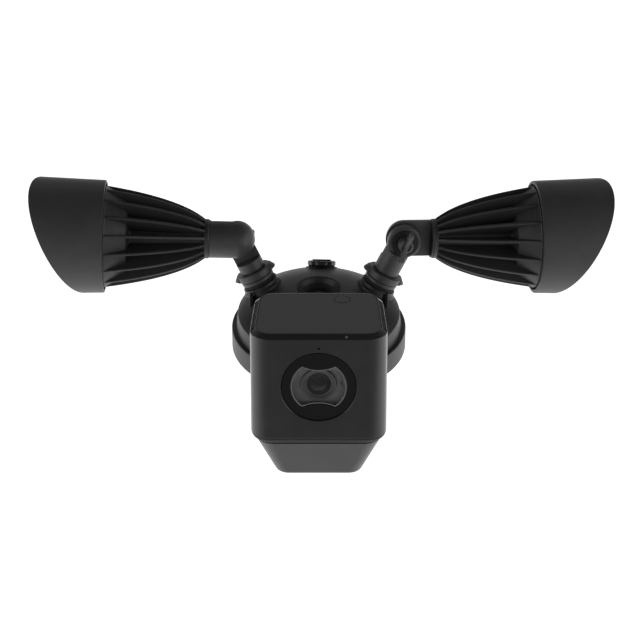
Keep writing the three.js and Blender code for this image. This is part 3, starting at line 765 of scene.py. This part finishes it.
def window_angles():
    """Angles about the lens axis, one of them at each corner between the disc and its bites."""
    corner_z = (WINDOW_BITE_AT ** 2 + WINDOW_R ** 2 - WINDOW_BITE_R ** 2) / (2 * WINDOW_BITE_AT)
    corner = math.asin(corner_z / WINDOW_R)
    spans = [(-corner, corner, 60), (corner, math.pi - corner, 40),
             (math.pi - corner, math.pi + corner, 60), (math.pi + corner, TURN - corner, 40)]
    return [a + (b - a) * i / n for a, b, n in spans for i in range(n)]


def around(distance, y, angles):
    """A loop about the lens axis at depth y; distance is a number or a function of the angle."""
    far = distance if callable(distance) else (lambda _: distance)
    return [(far(a) * math.cos(a), y, far(a) * math.sin(a)) for a in angles]


def camera_front(at):
    """The lens ring, the window with its lip, the lens and the infrared board behind them."""
    angles = window_angles()
    outer = LENS_RING_R - GAP

    def edge(*levels):
        """Loops that follow the window's edge, from (grow, depth) pairs."""
        return [around(lambda a, grow=grow: batwing(a, grow), y, angles) for grow, y in levels]

    ring = loft([
        around(outer, 3, angles), around(outer, 0.9, angles), around(outer - 0.3, 0.6, angles),
        *edge((0.75, 0.6), (0.6, 0.65), (0.1, 1.05), (0, 1.2), (0, 3)),
    ], closed=True)
    piece("lens_bezel", [ring], at, "camera", GLOSS, "lens_ring", slot="black_plastic", sharp=40)
    # The window's lip is black plastic coloured light grey: a painted highlight along the window's edge.
    lip = loft(edge(
        (0, 0.95), (0.02, 0.75), (-0.35, 0.8), (-0.45, 1.0), (-0.35, 1.4), (0, 1.4),
    ), closed=True)
    piece("window_lip", [lip], at, "camera", PAINTED_EDGE_HIGHLIGHT, slot="black_plastic", sharp=40)
    pane = loft(edge((-GAP, 2.6), (-GAP, 1.2), (-GAP - 0.2, 1.0)))
    piece("window_pane", [pane], at, "camera", SMOKED, "lens_window", slot="black_glass")

    barrel = lathe(rounded([
        (7.9, 4.8, 0.3), (9.2, 4.2, 0.3), (9.6, 3.4, 0.2), (11.3, 3.2, 0.5),
        (11.3, 20), (8.4, 20), (8.4, 7), (7.9, 6.6),
    ], True, 4), 128, closed=True)
    piece("lens_tube", [along_y(barrel)], at, "camera", BARREL, "lens_barrel", slot="black_plastic")
    # The tube's rim is coloured light grey: a painted highlight on the lens tube's edge.
    rim = along_y(tube(10.7, 11.4, 2.8, 3.6, 0.2, 128))
    piece("lens_tube_rim", [rim], at, "camera", PAINTED_EDGE_HIGHLIGHT, slot="black_plastic")
    stop = rounded([(5.2, 5.0, 0.2), (7.8, 4.6, 0.3), (7.8, 8), (5.2, 8)], True, 4)
    piece("lens_stop", [along_y(lathe(stop, 96, closed=True))], at, "camera", CASE, slot="black_plastic")
    element_r, steps = 7.6, 16
    bulge = [(r, 4.3 + 0.028 * r * r) for r in [element_r * i / steps for i in range(steps + 1)]]
    element = lathe([*bulge, (element_r, 9), (0, 9)], 96)
    piece("front_element", [along_y(element)], at, "camera", OPTIC, "lens_glass", slot="black_glass")
    plate = along_y(tube(11.7, 23, 4.6, 6.2, 0.2))
    piece("infrared_plate", [plate], at, "camera", PLATE, "ir_led_board", slot="green_board")
    spots = [shift(along_y(drum(0.5, 4.2, 4.8, 0.2, 24)), 14.8, 0, z) for z in (-1, 0.6, 2.2)]
    piece("infrared_leds", spots, at, "camera", OPTIC, slot="black_glass")


def camera():
    """The front arm, the bracket on its pin, the case with its covers and everything in its front."""
    x = Y.cross(camera_axis).normalized()
    toward = camera_axis.cross(x)
    pivot = on_dome(camera_axis, CAMERA_STEM)
    arm(camera_axis, -toward, x, CAMERA_STEM, CAMERA_EYE_R, 0, "camera_stem_seal", "camera_lock_nut",
        "camera_stem", "camera_washer", "camera_wing_screw")
    tilt = math.radians(CAMERA_TILT)
    back = Vector((0, math.cos(tilt), -math.sin(tilt)))
    above = x.cross(back)
    at_pivot = basis(x, back, above, pivot)
    at = basis(x, back, above, pivot - back * PIVOT_BEHIND - above * PIVOT_ABOVE)

    reach = PIVOT_BEHIND - BOX_DEPTH
    flange = along_y(lathe(rounded([
        (0, GAP), (FLANGE_R, GAP), (FLANGE_R, 2.8, 0.8), (0, 2.8),
    ], steps=4), 72))
    eye = along_x(drum(CAMERA_EYE_R, GAP, EYE_THICKNESS - 1, 1, 72))
    bar = block(GAP, EYE_THICKNESS - 1, -reach + 2, 0, -7, 7)
    rounds = mesh_of("round", [shift(flange, y=-reach), eye])
    whole = joined("bracket", [rounds, mesh_of("bar", [bar], 0.8)])
    piece("tilt_bracket", whole, at_pivot, "camera", PAINT, "camera_bracket", slot="coated_aluminium")

    case = piece("camera_case", housing(), at, "camera", CASE, "camera_housing", slot="black_plastic")
    # The rounded lower edge gets a much darker, more matte copy of the case finish: painted shade.
    case.data.materials.append(CASE_EDGE_PAINTED_SHADE)
    painted_shade_top = BOX_BOTTOM + BOTTOM_ROUND * 0.8
    to_box = at.to_3x3().transposed()
    for face in case.data.polygons:
        if (to_box @ (face.center / MM - at.translation)).z < painted_shade_top:
            face.material_index = 1
    hole = shift(drum(BUTTON_R + GAP, 0, 60), BUTTON_X, BUTTON_Y)
    lid_levels = [(0, GAP - LID_DEPTH), (0, -0.2), (0.06, -0.06), (0.2, 0)]
    lid = loft([box_outline(LID_INSET + GAP + inset, BOX_TOP + z) for inset, z in lid_levels])
    piece("case_lid", less(mesh_of("lid", [lid]), [hole]), at, "camera", PANEL, "top_panel",
          slot="black_plastic")
    button = [drum(BUTTON_R, BOX_TOP - 4.6, BOX_TOP + 0.1, 0.35, 96),
              drum(BUTTON_R + 1.2, BOX_TOP - 5.4, BOX_TOP - 4)]
    piece("round_button", [shift(b, BUTTON_X, BUTTON_Y) for b in button], at, "pairing_button", PANEL,
          "pairing_button", slot="black_plastic")
    camera_front(at)

    mesh = shift(along_y(drum(2.6, 3.2, 6, 0.2)), z=MIC_ABOVE)
    piece("microphone_mesh", [mesh], at, "camera", RUBBER, "microphone", slot="dark_steel")
    middle = TOP_CHAMFER / 2
    pipe = moved(drum(0.9, -2, 0.1, 0.1, 32), about(45, "X"))
    pipe = shift(pipe, STATUS_X, middle, BOX_TOP - middle)
    piece("status_pipe", [pipe], at, "camera", BARREL, "status_light", slot="diffuser")

    # Insets and heights from the rounded floor up to the groove under the case, then down the inside.
    groove = COVER_DROP - 1.1
    rim = COVER_DROP - GAP
    levels = [(2.4, 0), (1.5, 0.12), (0.75, 0.55), (0.25, 1.2), (0, 2.2), (0, groove), (0.7, groove),
              (0.7, rim), (3.0, rim), (3.0, 3.0)]
    sections = []
    for inset, height in levels:
        scale = COVER_SCALE + (1 - COVER_SCALE) * height / COVER_DROP
        outline = rectangle(inset - COVER_HALF, COVER_HALF - inset, COVER_FRONT + inset,
                            COVER_REAR - inset, COVER_CORNER_R - inset, 14)
        z = BOX_BOTTOM - COVER_DROP + height
        sections.append([(px * scale, COVER_CENTRE + (py - COVER_CENTRE) * scale, z)
                         for px, py in outline])
    piece("case_foot", [loft(sections)], at, "camera", COVER, "lower_cover", slot="black_plastic")

    plate = moved(prism(rear_outline(), 0, 2.4), about(90, "X"))
    rear = mesh_of("rear", [shift(plate, y=BOX_DEPTH)], 0.3)
    piece("case_rear", rear, at, "camera", COVER, "rear_cover", slot="black_plastic")


# ---------- build ----------
canopy()
lamp("left")
lamp("right")
camera()

finishes = {
    "coated_aluminium": PAINT, "black_plastic": CASE, "black_glass": GLOSS, "rubber": RUBBER,
    "zinc_steel": ZINC, "dark_steel": OXIDE, "white_plastic": WHITE, "white_board": MASK,
    "green_board": GREEN, "reflector": MIRROR, "diffuser": FROST,
}
slots = {entry["node"]: entry["material_slot"] for entry in frame["record"]["subparts"]}
for name, carried in frame["nodes"].items():
    carried.data.materials.clear()
    carried.data.materials.append(finishes[slots[name]])

# ---------- floor, light and camera, in metres ----------
FLOOR_Z = -0.28
FLOOR_HALF = 3
FLOOR_REAR = 5
GLOW_FROM = -0.82
GLOW_FULL = -0.15
SIDE_PANEL_X = 1.5
SIDE_PANEL_Y = -1.1
SIDE_PANEL_Z = 0.35
SIDE_PANEL_WIDTH = 3.2
SIDE_PANEL_HEIGHT = 1.3
SIDE_PANEL_RADIANCE = 1.1
REAR_PANEL_AT = (0, 2.4, 1.5)
REAR_PANEL_AIM = (0, 0, 0.05)
REAR_PANEL_WIDTH = 3.4
REAR_PANEL_HEIGHT = 1.2
REAR_PANEL_RADIANCE = 0.3
ELEVATION = math.radians(34)
DISTANCE = 2.082
LOOK_AT = Vector((0.00083, 0.00893, 0.01323))

scene = bpy.context.scene


def stage_plane(name, corners, material):
    mesh = bpy.data.meshes.new(name)
    mesh.from_pydata(corners, [], [(0, 1, 2, 3)])
    mesh.materials.append(material)
    made = bpy.data.objects.new(name, mesh)
    scene.collection.objects.link(made)


# The floor glows, and the glow fades out toward the front.
pale = surface("pale_floor", (0.86, 0.86, 0.86), 0.7, spread=0.01, grain=200, strength=0.0)
floor_tree = pale.node_tree
floor_shader = floor_tree.nodes["Principled BSDF"]
floor_shader.inputs["Emission Color"].default_value = (1, 1, 1, 1)
depth = node(floor_tree, "ShaderNodeSeparateXYZ")
glow = node(floor_tree, "ShaderNodeMapRange")
glow.inputs["From Min"].default_value = GLOW_FROM
glow.inputs["From Max"].default_value = GLOW_FULL
floor_place = node(floor_tree, "ShaderNodeTexCoord")
floor_tree.links.new(floor_place.outputs["Object"], depth.inputs["Vector"])
floor_tree.links.new(depth.outputs["Y"], glow.inputs["Value"])
floor_tree.links.new(glow.outputs["Result"], floor_shader.inputs["Emission Strength"])
stage_plane("floor", [
    (-FLOOR_HALF, -FLOOR_HALF, FLOOR_Z), (FLOOR_HALF, -FLOOR_HALF, FLOOR_Z),
    (FLOOR_HALF, FLOOR_REAR, FLOOR_Z), (-FLOOR_HALF, FLOOR_REAR, FLOOR_Z),
], pale)


def soft_light(name, at, toward, width, height, radiance):
    """A rectangular light whose energy gives its face the same radiance at any size."""
    data = bpy.data.lights.new(name, "AREA")
    data.shape = "RECTANGLE"
    data.size, data.size_y = width, height
    data.energy = radiance * math.pi * width * height
    made = bpy.data.objects.new(name, data)
    scene.collection.objects.link(made)
    made.location = at
    made.rotation_mode = "QUATERNION"
    made.rotation_quaternion = (Vector(toward) - Vector(at)).to_track_quat("-Z", "Y")


for name, x in (("left_panel", -SIDE_PANEL_X), ("right_panel", SIDE_PANEL_X)):
    soft_light(name, (x, SIDE_PANEL_Y, SIDE_PANEL_Z), (0, SIDE_PANEL_Y, SIDE_PANEL_Z),
               SIDE_PANEL_WIDTH, SIDE_PANEL_HEIGHT, SIDE_PANEL_RADIANCE)
soft_light("rear_panel", REAR_PANEL_AT, REAR_PANEL_AIM, REAR_PANEL_WIDTH, REAR_PANEL_HEIGHT,
           REAR_PANEL_RADIANCE)

# The surroundings fade from grey low down to near black overhead.
world = bpy.data.worlds.new("studio")
scene.world = world
world.use_nodes = True
sky = world.node_tree
sky_place = node(sky, "ShaderNodeTexCoord")
height = node(sky, "ShaderNodeSeparateXYZ")
fade = node(sky, "ShaderNodeValToRGB")
lower, upper = fade.color_ramp.elements
lower.position, upper.position = 0.3, 0.68
lower.color = (0.3, 0.3, 0.3, 1)
upper.color = (0.01, 0.01, 0.01, 1)
sky.links.new(sky_place.outputs["Generated"], height.inputs["Vector"])
sky.links.new(height.outputs["Z"], fade.inputs["Fac"])
sky.links.new(fade.outputs["Color"], sky.nodes["Background"].inputs["Color"])

upward = Vector((0, math.sin(ELEVATION), math.cos(ELEVATION)))
backward = Vector((0, -math.cos(ELEVATION), math.sin(ELEVATION)))
camera_data = bpy.data.cameras.new("camera")
camera_data.sensor_width = 36
camera_data.lens = 168.75
viewer = bpy.data.objects.new("camera", camera_data)
scene.collection.objects.link(viewer)
viewer.matrix_world = basis(X, upward, backward, LOOK_AT + backward * DISTANCE)
scene.camera = viewer
scene.view_settings.view_transform = "Standard"
